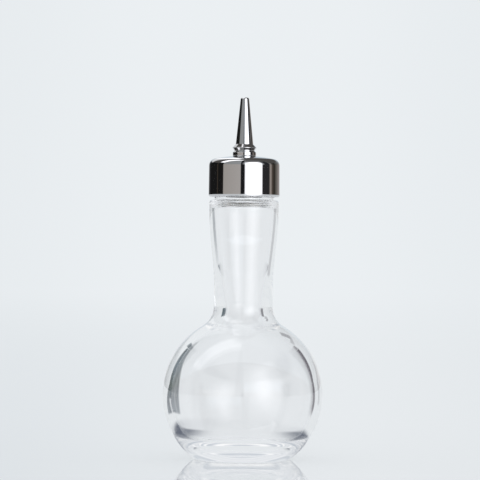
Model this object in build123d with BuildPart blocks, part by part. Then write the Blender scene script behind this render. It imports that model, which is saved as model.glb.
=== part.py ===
from build123d import *
import math
import os

# Bitters bottle: a glass globe on a thick flat foot, a neck that flares up to a ledge, and a chromed
# screw cap that carries a turned pouring nozzle. Millimetres, +Z up, origin at the centre of the foot.

# Glass globe and foot
globe_radius = 31.2
globe_centre_height = 25.0
globe_wall = 3.5
heel_rounding = 1.2
floor_height = 6.0
floor_rounding = 10.5
push_up_radius = 13.8
push_up_height = 1.2
push_up_rounding = 1.0

# Outside of the glass neck, from the top of the globe upwards
waist_radius = 11.5
waist_root_rounding = 8.6
waist_length = 15.2
flare_radius = 13.6
flare_length = 21.0
flare_start_reach = 3.0
flare_end_share = 0.85
collar_length = 8.5
ledge_rounding = 1.0

# Bore of the glass neck, from its foot in the globe's hollow upwards
bore_foot_radius = 5.3
bore_foot_share = 0.9
bore_foot_rounding = 9.0
bore_top_radius = 11.85
bore_bow = 0.85
bore_top_rounding = 1.3
ledge_thickness = 1.85
bore_exit_rounding = 1.0

# Screw finish of the glass, inside the cap
bead_radius = 11.5
bead_height = 2.6
bead_rounding = 0.35
finish_radius = 9.7
finish_height = 13.7
finish_bore_radius = 7.3
rim_rounding = 0.6
thread_depth = 1.1
thread_clearance = 0.2

# Cap shell
shell_thickness = 0.6
cap_foot_radius = 13.9
cap_shoulder_radius = 13.8
cap_foot_gap = 1.15
crown_drop = 1.65
crown_rounding = 2.7
hem_rounding = 0.9
hem_clearance = 0.45

# Liner and washer inside the cap
liner_clearance = 0.08
liner_roof_thickness = 1.87
liner_foot_clearance = 0.5
liner_lead_in = 0.6
washer_thickness = 1.0
washer_inner_overhang = 0.6
washer_outer_overhang = 0.7

# Nozzle above the cap, heights measured from its seat
nozzle_length = 22.91
tip_radius = 1.6
tip_rounding = 0.7
orifice_radius = 0.7
cone_root_radius = 3.42
cone_root_height = 4.7
ridge_radius = 4.72
ridge_height = 3.33
ridge_rounding = 0.2
groove_radius = 3.9
groove_height = 2.18
groove_rounding = 0.2
collar_radius = 4.54
collar_top_height = 1.5
collar_foot_height = 0.25
collar_foot_radius = 4.35
collar_rounding = 0.35

# Nozzle shank, nut, ring and restrictor under the crown
shank_radius = 2.6
shank_clearance = 0.06
shank_bore_radius = 1.6
shank_end_length = 0.5
shank_chamfer = 0.3
nut_across_flats = 8.0
nut_height = 2.0
nut_chamfer = 0.35
ring_section_radius = 0.5
ring_clearance = 0.04
dash_flange_radius = 2.4
dash_flange_height = 0.8
dash_end_gap = 0.5
dash_orifice_radius = 0.5
dash_clearance = 0.05
dash_chamfer = 0.25

# Heights that follow from the sizes above
globe_top = globe_centre_height + globe_radius
waist_top = globe_top + waist_length
flare_top = waist_top + flare_length
ledge_top = flare_top + collar_length
bore_top = ledge_top - ledge_thickness
bead_top = ledge_top + bead_height
rim_top = ledge_top + finish_height
washer_top = rim_top + washer_thickness
cap_foot = ledge_top + cap_foot_gap
liner_foot = bead_top + liner_foot_clearance
crown_top = washer_top + liner_roof_thickness + liner_clearance + shell_thickness
crown_edge = crown_top - crown_drop

# Radii that follow from the sizes above
hollow_radius = globe_radius - globe_wall
foot_radius = math.sqrt(globe_radius**2 - globe_centre_height**2)
floor_radius = math.sqrt(hollow_radius**2 - (globe_centre_height - floor_height) ** 2)
bore_foot = globe_centre_height + bore_foot_share * hollow_radius
liner_bore_radius = finish_radius + thread_depth + thread_clearance
hem_radius = bead_radius + hem_clearance
flare_turn = math.atan2(flare_radius - waist_radius, flare_length)
flare_start_rounding = flare_start_reach / math.tan(flare_turn / 2)
flare_end_rounding = flare_end_share * (collar_length - ledge_rounding) / math.tan(flare_turn / 2)
dome_radius = (cap_shoulder_radius**2 + crown_drop**2) / (2 * crown_drop)
shank_hole_radius = shank_radius + shank_clearance
ring_radius = shank_hole_radius + ring_section_radius


def corner(sketch, radius, height):
    """The corner of a section that lies nearest to a radius and a height."""
    return sketch.vertices().sort_by_distance((radius, height))[0]


def ball_height(ball_radius, radius):
    """Height at which a ball round the globe's centre narrows to a radius, above its middle."""
    return globe_centre_height + math.sqrt(ball_radius**2 - radius**2)


def crown_height(radius, inset):
    """Height of the cap's domed crown at a radius, at a depth inside its outer skin."""
    return crown_top - dome_radius + math.sqrt((dome_radius - inset) ** 2 - radius**2)


def cap_section(inset):
    """Right half of the cap's section, at a depth inside its outer skin."""
    with BuildSketch(Plane.XZ) as section:
        with BuildLine():
            ThreePointArc(
                (-cap_shoulder_radius, crown_edge), (0, crown_top), (cap_shoulder_radius, crown_edge)
            )
            Polyline(
                (cap_shoulder_radius, crown_edge),
                (cap_foot_radius, cap_foot),
                (-cap_foot_radius, cap_foot),
                (-cap_shoulder_radius, crown_edge),
            )
        make_face()
        fillet(section.vertices().group_by(Axis.Y)[-1], crown_rounding)
        fillet(section.vertices().group_by(Axis.Y)[0], hem_rounding)
        if inset:
            offset(amount=-inset)
        split(bisect_by=Plane.YZ)
    return section.sketch


# Bottle: one turned section for the outside, one for the hollow
with BuildPart() as bottle:
    with BuildSketch(Plane.XZ) as outside:
        with Locations((0, globe_centre_height)):
            Circle(globe_radius)
        with BuildLine():
            Polyline(
                (0, globe_centre_height),
                (waist_radius, globe_centre_height),
                (waist_radius, waist_top),
                (flare_radius, flare_top),
                (flare_radius, ledge_top),
                (bead_radius, ledge_top),
                (bead_radius, bead_top),
                (finish_radius, bead_top),
                (finish_radius, rim_top),
                (0, rim_top),
                close=True,
            )
        make_face()
        Rectangle(2 * globe_radius, globe_radius, align=(Align.CENTER, Align.MAX), mode=Mode.SUBTRACT)
        with BuildLine():
            ThreePointArc((-push_up_radius, 0), (0, push_up_height), (push_up_radius, 0))
            Line((push_up_radius, 0), (-push_up_radius, 0))
        make_face(mode=Mode.SUBTRACT)
        split(bisect_by=Plane.YZ)
        fillet(corner(outside, foot_radius, 0), heel_rounding)
        fillet(corner(outside, push_up_radius, 0), push_up_rounding)
        fillet(corner(outside, waist_radius, ball_height(globe_radius, waist_radius)), waist_root_rounding)
        fillet(corner(outside, waist_radius, waist_top), flare_start_rounding)
        fillet(corner(outside, flare_radius, flare_top), flare_end_rounding)
        fillet(corner(outside, flare_radius, ledge_top), ledge_rounding)
        fillet(corner(outside, bead_radius, ledge_top), bead_rounding)
        fillet(corner(outside, bead_radius, bead_top), bead_rounding)
        fillet(corner(outside, finish_radius, rim_top), rim_rounding)
    revolve(axis=Axis.Z)

    # The hollow is a ball with a flat floor, which opens into a bore that widens up the neck
    with BuildSketch(Plane.XZ) as hollow:
        with Locations((0, globe_centre_height)):
            Circle(hollow_radius)
        with BuildLine():
            Polyline((0, globe_centre_height), (bore_foot_radius, globe_centre_height))
            Line((bore_foot_radius, globe_centre_height), (bore_foot_radius, bore_foot))
            SagittaArc((bore_foot_radius, bore_foot), (bore_top_radius, bore_top), -bore_bow)
            Polyline(
                (bore_top_radius, bore_top),
                (finish_bore_radius, bore_top),
                (finish_bore_radius, rim_top),
                (0, rim_top),
                (0, globe_centre_height),
            )
        make_face()
        with Locations((0, floor_height)):
            Rectangle(2 * globe_radius, globe_radius, align=(Align.CENTER, Align.MAX), mode=Mode.SUBTRACT)
        split(bisect_by=Plane.YZ)
        fillet(corner(hollow, floor_radius, floor_height), floor_rounding)
        fillet(corner(hollow, bore_foot_radius, ball_height(hollow_radius, bore_foot_radius)), bore_foot_rounding)
        fillet(corner(hollow, bore_top_radius, bore_top), bore_top_rounding)
        fillet(corner(hollow, finish_bore_radius, bore_top), bore_exit_rounding)
    revolve(axis=Axis.Z, mode=Mode.SUBTRACT)
    fillet(bottle.faces().sort_by(Axis.Z)[-1].inner_wires()[0].edges(), rim_rounding)

# Cap shell: drawn metal, with its lower edge rolled inwards and a seat on the crown for the nozzle
nozzle_seat = crown_height(collar_radius, 0)
with BuildPart() as cap_shell:
    revolve(cap_section(0), axis=Axis.Z)
    revolve(cap_section(shell_thickness), axis=Axis.Z, mode=Mode.SUBTRACT)
    with BuildSketch(Plane.XY.offset(cap_foot)):
        Circle(hem_radius)
    extrude(amount=shell_thickness, mode=Mode.SUBTRACT)
    with BuildSketch(Plane.XY.offset(nozzle_seat)):
        Circle(collar_radius)
    extrude(amount=crown_drop, mode=Mode.SUBTRACT)
    with BuildSketch(Plane.XY.offset(nozzle_seat)):
        Circle(shank_hole_radius)
    extrude(amount=-crown_drop, mode=Mode.SUBTRACT)

# Washer: lies on the glass rim, under the liner's roof
with BuildPart() as rim_washer:
    with BuildSketch(Plane.XY.offset(rim_top)):
        Circle(finish_radius + washer_outer_overhang)
        Circle(finish_bore_radius - washer_inner_overhang, mode=Mode.SUBTRACT)
    extrude(amount=washer_thickness)

# Liner: fills the shell, clears the glass thread, and has a recess in its roof for the nozzle's ring
ring_height = crown_height(ring_radius, shell_thickness) - ring_clearance - ring_section_radius
recess_floor = ring_height - ring_section_radius - ring_clearance
recess_radius = ring_radius + ring_section_radius + ring_clearance
with BuildPart() as threaded_insert:
    revolve(cap_section(shell_thickness + liner_clearance), axis=Axis.Z)
    with BuildSketch(Plane.XY.offset(liner_foot)):
        Circle(cap_foot_radius)
    extrude(amount=cap_foot - liner_foot, mode=Mode.SUBTRACT)
    with BuildSketch(Plane.XY.offset(liner_foot)):
        Circle(liner_bore_radius)
    extrude(amount=washer_top - liner_foot, mode=Mode.SUBTRACT)
    chamfer(threaded_insert.faces().sort_by(Axis.Z)[0].inner_wires()[0].edges(), liner_lead_in)
    with BuildSketch(Plane.XY.offset(washer_top)):
        Circle(shank_hole_radius)
    extrude(amount=liner_roof_thickness, mode=Mode.SUBTRACT)
    with BuildSketch(Plane.XY.offset(recess_floor)):
        Circle(recess_radius)
    extrude(amount=liner_roof_thickness, mode=Mode.SUBTRACT)

# Nozzle: a turned cone on two collars, with a shank through the crown and a tapered bore
nozzle_tip = nozzle_seat + nozzle_length
nut_foot = washer_top - nut_height
shank_foot = nut_foot - shank_end_length
with BuildPart() as nozzle:
    with BuildSketch(Plane.XZ) as turned:
        with BuildLine():
            Polyline(
                (shank_bore_radius, shank_foot),
                (shank_radius, shank_foot),
                (shank_radius, nozzle_seat),
                (collar_foot_radius, nozzle_seat),
                (collar_radius, nozzle_seat + collar_foot_height),
                (collar_radius, nozzle_seat + collar_top_height),
                (groove_radius, nozzle_seat + groove_height),
                (ridge_radius, nozzle_seat + ridge_height),
                (cone_root_radius, nozzle_seat + cone_root_height),
                (tip_radius, nozzle_tip),
                (orifice_radius, nozzle_tip),
                (shank_bore_radius, nozzle_seat),
                close=True,
            )
        make_face()
        chamfer(corner(turned, shank_radius, shank_foot), shank_chamfer)
        fillet(corner(turned, collar_radius, nozzle_seat + collar_foot_height), collar_rounding)
        fillet(corner(turned, collar_radius, nozzle_seat + collar_top_height), collar_rounding)
        fillet(corner(turned, groove_radius, nozzle_seat + groove_height), groove_rounding)
        fillet(corner(turned, ridge_radius, nozzle_seat + ridge_height), ridge_rounding)
        fillet(corner(turned, tip_radius, nozzle_tip), tip_rounding)
    revolve(axis=Axis.Z)

# Ring: seals the shank in the liner's recess
with BuildPart() as nozzle_o_ring:
    with BuildSketch(Plane.XZ):
        with Locations((ring_radius, ring_height)):
            Circle(ring_section_radius)
    revolve(axis=Axis.Z)

# Nut: thin hexagon that draws the nozzle down on the crown
with BuildPart() as nozzle_nut:
    with BuildSketch(Plane.XY.offset(nut_foot)):
        RegularPolygon(nut_across_flats / 2, 6, major_radius=False)
        Circle(shank_hole_radius, mode=Mode.SUBTRACT)
    extrude(amount=nut_height)
    chamfer(nozzle_nut.faces().sort_by(Axis.Z)[0].outer_wire().edges(), nut_chamfer)

# Restrictor: a flanged tube in the shank's bore
with BuildPart() as dash_insert:
    with BuildSketch(Plane.XZ) as restrictor:
        with BuildLine():
            Polyline(
                (dash_orifice_radius, shank_foot - dash_flange_height),
                (dash_flange_radius, shank_foot - dash_flange_height),
                (dash_flange_radius, shank_foot),
                (shank_bore_radius - dash_clearance, shank_foot),
                (shank_bore_radius - dash_clearance, nozzle_seat - dash_end_gap),
                (dash_orifice_radius, nozzle_seat - dash_end_gap),
                close=True,
            )
        make_face()
        chamfer(corner(restrictor, dash_flange_radius, shank_foot - dash_flange_height), dash_chamfer)
        chamfer(corner(restrictor, dash_orifice_radius, shank_foot - dash_flange_height), dash_chamfer)
    revolve(axis=Axis.Z)

# Every piece is written under its own name
bottle.part.label = "bottle"
cap_shell.part.label = "cap_shell"
threaded_insert.part.label = "threaded_insert"
rim_washer.part.label = "rim_washer"
nozzle.part.label = "nozzle"
nozzle_o_ring.part.label = "nozzle_o_ring"
nozzle_nut.part.label = "nozzle_nut"
dash_insert.part.label = "dash_insert"

os.makedirs("parts", exist_ok=True)
export_step(bottle.part, "parts/bottle.step")
export_step(cap_shell.part, "parts/cap_shell.step")
export_step(threaded_insert.part, "parts/threaded_insert.step")
export_step(rim_washer.part, "parts/rim_washer.step")
export_step(nozzle.part, "parts/nozzle.step")
export_step(nozzle_o_ring.part, "parts/nozzle_o_ring.step")
export_step(nozzle_nut.part, "parts/nozzle_nut.step")
export_step(dash_insert.part, "parts/dash_insert.step")
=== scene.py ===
"""Bitters bottle: clear turned glass, a chromed screw cap and its pouring nozzle, in a pale studio."""
import math
from types import SimpleNamespace

import bpy
from mathutils import Matrix


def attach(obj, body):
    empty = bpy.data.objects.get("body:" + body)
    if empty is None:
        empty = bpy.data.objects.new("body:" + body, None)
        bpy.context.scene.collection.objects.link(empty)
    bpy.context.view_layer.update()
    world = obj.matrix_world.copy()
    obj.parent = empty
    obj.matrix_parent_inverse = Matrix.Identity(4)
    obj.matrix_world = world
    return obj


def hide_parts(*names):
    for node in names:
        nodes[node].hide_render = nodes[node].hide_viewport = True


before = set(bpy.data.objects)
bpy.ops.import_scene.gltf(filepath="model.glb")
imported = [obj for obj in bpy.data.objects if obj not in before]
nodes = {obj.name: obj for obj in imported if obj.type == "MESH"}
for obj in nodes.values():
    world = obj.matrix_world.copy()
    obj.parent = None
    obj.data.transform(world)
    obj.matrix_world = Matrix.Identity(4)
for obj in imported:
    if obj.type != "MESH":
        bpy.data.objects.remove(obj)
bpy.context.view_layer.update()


def linear(*levels):
    """A colour from 0 to 255 levels, as the renderer's linear values."""
    shares = [level / 255 for level in levels]
    return tuple(c / 12.92 if c <= 0.04045 else ((c + 0.055) / 1.055) ** 2.4 for c in shares) + (1,)


# Outlines are written in millimetres, as (radius, height), and become metres in the meshes
MM = 0.001
TURN_STEPS = 192
SHARP_DEGREES = 32

# Outlines are built of curves that run on past their corners, by OVERRUN values, and are trimmed where they
# cross. Roundings take ROUNDING_STEPS in each 45 degrees. Lengths under SAME_PLACE and radii under ON_AXIS
# count as none
ROUNDING_STEPS = 8
ROUNDING_STEPS_LEAST = 4
SAME_PLACE = 1e-5
ON_AXIS = 1e-6
PARALLEL = 1e-12
CROSSING_SLACK = 1e-9

# Bottle
GLOBE_RADIUS = 31.2
GLOBE_CENTRE = 25.0
HOLLOW_RADIUS = 27.7
FLOOR_HEIGHT = 6.0
FLOOR_ROUNDING = 10.5
PUSH_UP_RADIUS = 13.8
PUSH_UP_HEIGHT = 1.2
PUSH_UP_ROUNDING = 1.0
HEEL_ROUNDING = 1.2
WAIST_RADIUS = 11.5
WAIST_ROOT_ROUNDING = 8.6
WAIST_TOP = 71.4
FLARE_RADIUS = 13.6
FLARE_TOP = 92.4
FLARE_START_ROUNDING = 60.0
FLARE_END_ROUNDING = 127.8
LEDGE_TOP = 100.9
LEDGE_ROUNDING = 1.0
BORE_FOOT = (5.3, 49.93)
BORE_TOP = (11.85, 99.05)
BORE_BOW = 0.85
BORE_FOOT_ROUNDING = 9.0
BORE_TOP_ROUNDING = 1.3
BORE_EXIT_ROUNDING = 1.0
BEAD_RADIUS = 11.5
BEAD_TOP = 103.5
BEAD_ROUNDING = 0.35
FINISH_RADIUS = 9.7
FINISH_BORE_RADIUS = 7.3
RIM_TOP = 114.6
RIM_ROUNDING = 0.6
PUSH_UP_DEGREES = (90, 79)
FOOT_OVERRUN = 3
GLOBE_OVERRUN_DEGREES = 6
GLOBE_END_DEGREES = 75
WAIST_OVERRUN_HEIGHT = GLOBE_CENTRE + 20
HOLLOW_DEGREES = (82, -50)

# Screw thread of the glass and of the liner, right-handed, half a pitch apart
THREAD_PITCH = 3.175
THREAD_DEPTH = 1.0
THREAD_HALF_WIDTH = 0.85
THREAD_FLANK = 0.55
THREAD_FADE = 0.09
GLASS_THREAD_HEIGHT = 105.4
GLASS_THREAD_TURNS = (0, 2.1)
LINER_THREAD_HEIGHT = GLASS_THREAD_HEIGHT - THREAD_PITCH / 2
LINER_THREAD_TURNS = (0.45, 3.1)
THREAD_WALL_SLACK = 0.01

# Cap shell and liner
CROWN_TOP = 118.15
CROWN_DROP = 1.65
CAP_SHOULDER_RADIUS = 13.8
CAP_FOOT_RADIUS = 13.9
CAP_FOOT = 102.05
CROWN_ROUNDING = 2.7
HEM_ROUNDING = 0.9
HEM_RADIUS = 11.95
SHELL_THICKNESS = 0.6
CAP_OVERRUN = 1.2
LINER_CLEARANCE = 0.08
LINER_FOOT = 104.0
LINER_BORE_RADIUS = 11.0
LINER_ROOF = 115.6
LINER_LEAD_IN = 0.6
LINER_EDGE = 0.15
RECESS_RADIUS = 3.7
RECESS_FLOOR = CROWN_TOP - 1.75
SHANK_HOLE_RADIUS = 2.66

# Nozzle, heights from its seat on the crown
NOZZLE_SEAT = CROWN_TOP - 0.18
NOZZLE_LENGTH = 22.91
TIP_RADIUS = 1.6
TIP_ROUNDING = 0.7
ORIFICE_RADIUS = 0.7
CONE_ROOT = (3.42, 4.7)
RIDGE = (4.72, 3.33)
RIDGE_ROUNDING = 0.2
GROOVE = (3.9, 2.18)
GROOVE_ROUNDING = 0.2
COLLAR_RADIUS = 4.54
COLLAR_TOP = 1.5
COLLAR_FOOT = 0.25
COLLAR_FOOT_RADIUS = 4.35
COLLAR_ROUNDING = 0.35
SHANK_RADIUS = 2.6
SHANK_BORE_RADIUS = 1.6
SHANK_FOOT = 113.1
SHANK_EDGE = 0.2

# Glass. Edge on it is tinted greyer, partly as painted shade. Rays that were mirrored more often than
# TRAPPED_REFLECTIONS end in painted light: a pale glow of the glass's own, with faint rings.
# Textures are in waves per metre, relief is in metres
GLASS_IOR = 1.5
GLASS_ROUGHNESS = 0.01
GLASS_FACE_COLOR = (0.998, 0.996, 0.999, 1)
# Painted shade: the glass is tinted greyer edge on, partly its own tint and partly to draw its dark edges
GLASS_EDGE_SHADE = (0.94, 0.95, 0.955, 1)
GLASS_EDGE_FACING = (0.45, 0.95)
GLASS_WAVE_SCALE = 60.0
GLASS_WAVE_STRETCH = (1, 1, 0.5)
GLASS_WAVE_DEPTH = 0.00002
TRAPPED_REFLECTIONS = 3
TRAPPED_GLOW_COLORS = (linear(202, 208, 215), linear(252, 253, 254))
TRAPPED_RINGS = 420.0
TRAPPED_RING_RANGE = (0.35, 0.65)

# Chrome
CHROME_COLOR = (0.65, 0.65, 0.66, 1)
SHELL_ROUGHNESS = 0.03
NOZZLE_ROUGHNESS = 0.035
CHROME_HAZE_SCALE = 180.0
CHROME_HAZE_RANGE = (0.45, 0.75)
CHROME_HAZE_GROWTH = 2.2
CHROME_WAVE_SCALE = 130.0
CHROME_WAVE_DEPTH = 0.000004
CHROME_SCRATCH_SCALE = 900.0
CHROME_SCRATCH_STRETCH = (1, 1, 12)
CHROME_SCRATCH_SHARE = 0.04

# Moulded plastic and rubber
LINER_COLOR = linear(226, 226, 220)
WASHER_COLOR = linear(214, 214, 208)
RING_COLOR = linear(28, 28, 29)
DASH_COLOR = linear(228, 228, 222)
MOTTLE_SCALE = 350.0
MOTTLE_SHARE = 0.9
WEAR_SCALE = 900.0
WEAR_GROWTH = 1.25
PATCH_RANGE = (0.3, 0.7)
SKIN_COLOR_REACH = (1, 0.9, 0.8)
SKIN_DEPTH = 0.0006
MOULD_GRAIN_SCALE = 2500.0
MOULD_GRAIN_DEPTH = 0.00001

# Turned steel
STEEL_COLOR = linear(176, 176, 178)
STEEL_ROUGHNESS = 0.3
STEEL_RINGS = 9000.0
STEEL_RING_ROUGHNESS = (0.22, 0.4)
STEEL_RING_DEPTH = 0.00001

# Studio panels round the object, as (turn in degrees from the camera towards +X, colour), one colour a stop
PANEL_STRENGTH = 1.6
PANEL_STOPS = [
    (-180, (0.52, 0.53, 0.545, 1)),
    (-166, (0.50, 0.51, 0.52, 1)),
    (-156, (0.008, 0.008, 0.009, 1)),
    (-148, (0.035, 0.035, 0.037, 1)),
    (-140, (0.008, 0.008, 0.008, 1)),
    (-100, (0.008, 0.008, 0.008, 1)),
    (-97, (0.045, 0.035, 0.026, 1)),
    (-94, (0.008, 0.008, 0.008, 1)),
    (-73, (0.010, 0.009, 0.008, 1)),
    (-71.5, (0.285, 0.265, 0.245, 1)),
    (-12.5, (0.33, 0.31, 0.295, 1)),
    (-11, (0.008, 0.008, 0.009, 1)),
    (1, (0.010, 0.010, 0.011, 1)),
    (3, (0.98, 0.98, 1.0, 1)),
    (60, (0.98, 0.98, 1.0, 1)),
    (61.5, (0.02, 0.019, 0.021, 1)),
    (88, (0.02, 0.019, 0.02, 1)),
    (96, (0.30, 0.26, 0.235, 1)),
    (102, (0.075, 0.06, 0.05, 1)),
    (115, (0.018, 0.015, 0.012, 1)),
    (125, (0.085, 0.078, 0.068, 1)),
    (153, (0.24, 0.215, 0.205, 1)),
    (167, (0.50, 0.51, 0.52, 1)),
    (180, (0.52, 0.53, 0.545, 1)),
]

# Softer light above the panels: the hot middle of the white panel, a softbox strip over the left, a softbox
# behind on the left with a pale panel round it, and dark overhead behind and on the right. INSIDE values are
# for rays that come out of the glass and were mirrored on their way. Windows are (low, high, soft edge) and
# fades (start, end), in degrees of turn or climb, or in shares of the direction's length
SOFT_CLIMB = (14, 26)
SOFT_LEVEL = (0.5, 0.5, 0.51)
HOT_TURN = (24, 40, 34)
HOT_CLIMB = (-30, 35, 40)
HOT_WIDE_TURN = (16, 48, 52)
HOT_WIDE_CLIMB = (3, 12)
HOT_COLOR = (4.7, 4.7, 4.8, 1)
STRIP_DEPTH = (-0.25, 0.04, 0.1)
STRIP_CLIMB = (30, 82, 10)
STRIP_SIDE = (-0.05, 0)
BACK_LEFT_TURN = (-182, -166, 6)
BACK_LEFT_CLIMB = (22, 64, 5)
BACK_PALE_TURN = (-170, -136, 8)
BACK_PALE_CLIMB = (18, 66, 8)
BACK_PALE_COLOR = (0.85, 0.86, 0.87, 1)
SOFTBOX_COLOR = (2.2, 2.2, 2.25, 1)
BACK_DARK_CLIMB = (19, 25)
BACK_DARK_DEPTH = (-0.05, 0.1)
BACK_DARK = (0.10, 0.095, 0.09, 1)
RIGHT_DARK_CLIMB = (45, 49)
RIGHT_DARK_SIDE = (-0.02, 0.05)
RIGHT_DARK = (0.15, 0.15, 0.15, 1)
INSIDE_FRONT = (-0.3, 0.1)
INSIDE_PANEL_SHARE = 0.7
INSIDE_HOT_SHARE = 0.9
HIGH_CLIMB = (6, 10)
HIGH_TINT = (0.74, 0.82, 0.88)

# Backdrop, by how far to the side it is seen, in shares of the direction's length
BACKDROP_MIDDLE = linear(235.2, 239.4, 242.3)
BACKDROP_SIDE = linear(231.6, 236.1, 239.1)
BACKDROP_REACH = (0.03, 0.1)

# Floor, in metres. Its left is darker than its right, as painted shade. Metal and the glass meet other
# colours there than the camera: a plain one, painted shade and reflection beside the foot and, for rays that
# were mirrored on their way, a painted reflection of the hot light
# Painted shade: the floor's left is darker than its right
FLOOR_LEFT_SHADED = (0.62, 0.66, 0.70, 1)
FLOOR_RIGHT = (0.74, 0.765, 0.79, 1)
FLOOR_SIDE = (-0.12, 0.06)
FLOOR_IOR = 1.45
FLOOR_OWN_SHARE = 0.55
FLOOR_DROP = 0.00003
FLOOR_REACH = 12.0
FLOOR_FADE = (0.8, 4.0)
FLOOR_SEEN = (0.77, 0.80, 0.82, 1)
# Painted shade and reflection: grey patches beside the foot that stand for the bottle's dark reflection and
# shadow, seen only by metal and the glass
FLOOR_FOOT_SHADE = linear(104, 110, 122)
FOOT_SHADE_REACH = (0.021, 0.050, 0.014)
FOOT_SHADE_LEFTWARD = 0.15
FOOT_SHADE_SIDE = (0.013, 0.030)
# Painted reflection: the hot light shown in the floor's polish as emission, for rays that were mirrored on
# their way
FLOOR_HOT_REFLECTION_NEAR = 0.05
FLOOR_HOT_REFLECTION_SHARE = 0.65

# Studio flags: painted dark reflections on a wall round the bottle that only rays out of the glass can meet,
# which put the dark bands into the glass. What a ray meets goes by its turn in degrees, its height and its
# length since the glass, in millimetres, and by whether it was mirrored on its way. INNER flags are for rays
# that weren't, OUTER ones for rays that were. A GROWING value is (value, growth per millimetre, height that
# it grows from), windows and fades are as above
FLAG_RADIUS = 0.045
FLAG_HEIGHT = 0.097
FLAG_STEPS = 64
FLAG_EDGE = 1.4
INNER_LENGTH_GROWING = (18.6, 0.45, 31)
INNER_LENGTH_EDGE = (-0.8, 0.2)
INNER_LENGTH_END = (33.0, 33.6)
INNER_HEIGHT_END = (56, 58)
OUTER_LENGTH_END = (34.0, 35.2)
OUTER_HEIGHT_END = (60, 64)
INNER_ROOT_LENGTH = (34.4, 37.0, 0.6)
INNER_ROOT_HEIGHT = (46, 66.5, 1.5)
OUTER_ROOT_LENGTH = (34.8, 37.9, 0.5)
OUTER_ROOT_HEIGHT = (45, 69.5, 1.5)

LEFT_BEHIND = (-92, -88)
LEFT_FOOT = (11.8, 13.6)
LEFT_INNER_GROWING = (-132.5, -0.8, 45)
LEFT_INNER_LIMIT = -142
LEFT_INNER_ROOT = -129
LEFT_OUTER_GROWING = (-105.5, -0.4, 32)
LEFT_OUTER_LOW = 30
LEFT_OUTER_LOW_GROWTH = -0.6
LEFT_OUTER_ROOT = -122
LEFT_STREAK_TURN = (-102.5, -97.5, 1)
LEFT_STREAK_HEIGHT = (21, 23)
LEFT_STREAK_SHARE = 0.75

RIGHT_BEHIND = (88, 92)
RIGHT_FOOT = (9, 17)
RIGHT_INNER_GROWING = (102.5, 0.85, 20)
RIGHT_INNER_ROOT = 121
RIGHT_INNER_ROOT_SHARE = 0.7
RIGHT_OUTER_GROWING = (101, 0.65, 33)
RIGHT_OUTER_ROOT = 116
RIGHT_OUTER_ROOT_SHARE = 0.8
RIGHT_ECHO_TURN = (111.5, 118.5, 2)
RIGHT_ECHO_GROWING = (0, 1.5, 31)
RIGHT_ECHO_HEIGHT = (19, 41, 3)
RIGHT_ECHO_SHARE = 0.4

# Painted dark reflections in the neck and shoulder, as (window of turn, window of length, fade of height,
# share)
LEFT_NECK = ((-131, -112, 4), (36.2, 38.6, 0.6), (62, 89), 0.6)
RIGHT_NECK = ((118, 136, 4), (36.8, 41, 0.6), (60.5, 63), 0.4)
RIGHT_SHOULDER = ((128, 137, 2), (39, 49, 1), (61, 64), 0.6)

# Colours of the flags' painted dark reflections, with lighter streaks, as (height, colour) on the left, and
# one colour on the right
LEFT_PAINTED_REFLECTION_COLORS = (
    (0, linear(84, 92, 102)),
    (22, linear(66, 74, 82)),
    (30, linear(54, 64, 60)),
    (40, linear(78, 88, 94)),
)
LEFT_FLAG_SPAN = 100
RIGHT_PAINTED_REFLECTION_COLOR = linear(96, 92, 100)
FLAG_SEAM = (-10, 10)
REFLECTION_STREAK_SCALE = 220.0
REFLECTION_STREAK_STRETCH = (1, 1, 0.3)
REFLECTION_STREAK_RANGE = (0.35, 0.7)
REFLECTION_STREAK_DEPTH = 1.3

# Camera, in the photograph's frame of 480 pixels
FRAME_PIXELS = 480
PIXEL_SIZE = 0.39
CAMERA_DISTANCE = 1.0
CAMERA_SIGHT = 100.0
SENSOR_WIDTH = 36.0
HORIZON_ROW = 247.0
FOOT_ROW = 458.8
FOOT_COLUMN = 241.8
LEAN_DEGREES = 0.5


def straight(start, end, count=2):
    """Points evenly spaced from one place to another."""
    return [
        tuple(a + (b - a) * i / (count - 1) for a, b in zip(start, end))
        for i in range(count)
    ]


def arc(centre, radius, first, last, count):
    """Points on a circle between two angles, in degrees from +radius towards +height."""
    return [
        (centre[0] + radius * math.cos(math.radians(a)), centre[1] + radius * math.sin(math.radians(a)))
        for (a,) in straight((first,), (last,), count)
    ]


def bowed(start, end, rise, count):
    """Points on the arc from start to end that stands off its chord to the left by a rise."""
    dx, dy = end[0] - start[0], end[1] - start[1]
    chord = math.hypot(dx, dy)
    radius = (chord**2 / 4 + rise**2) / (2 * abs(rise))
    side = math.copysign(1, rise)
    middle = ((start[0] + end[0]) / 2, (start[1] + end[1]) / 2)
    reach = side * (radius - abs(rise))
    centre = (middle[0] + dy / chord * reach, middle[1] - dx / chord * reach)
    half = math.degrees(math.asin(chord / 2 / radius))
    axis = math.degrees(math.atan2(middle[1] - centre[1], middle[0] - centre[0]))
    return arc(centre, radius, axis + side * half, axis - side * half, count)


def offset_line(curve, distance):
    """A curve's points moved to its left."""
    moved = []
    for i, (x, y) in enumerate(curve):
        x0, y0 = curve[max(i - 1, 0)]
        x1, y1 = curve[min(i + 1, len(curve) - 1)]
        length = math.hypot(x1 - x0, y1 - y0)
        moved.append((x - (y1 - y0) / length * distance, y + (x1 - x0) / length * distance))
    return moved


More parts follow.
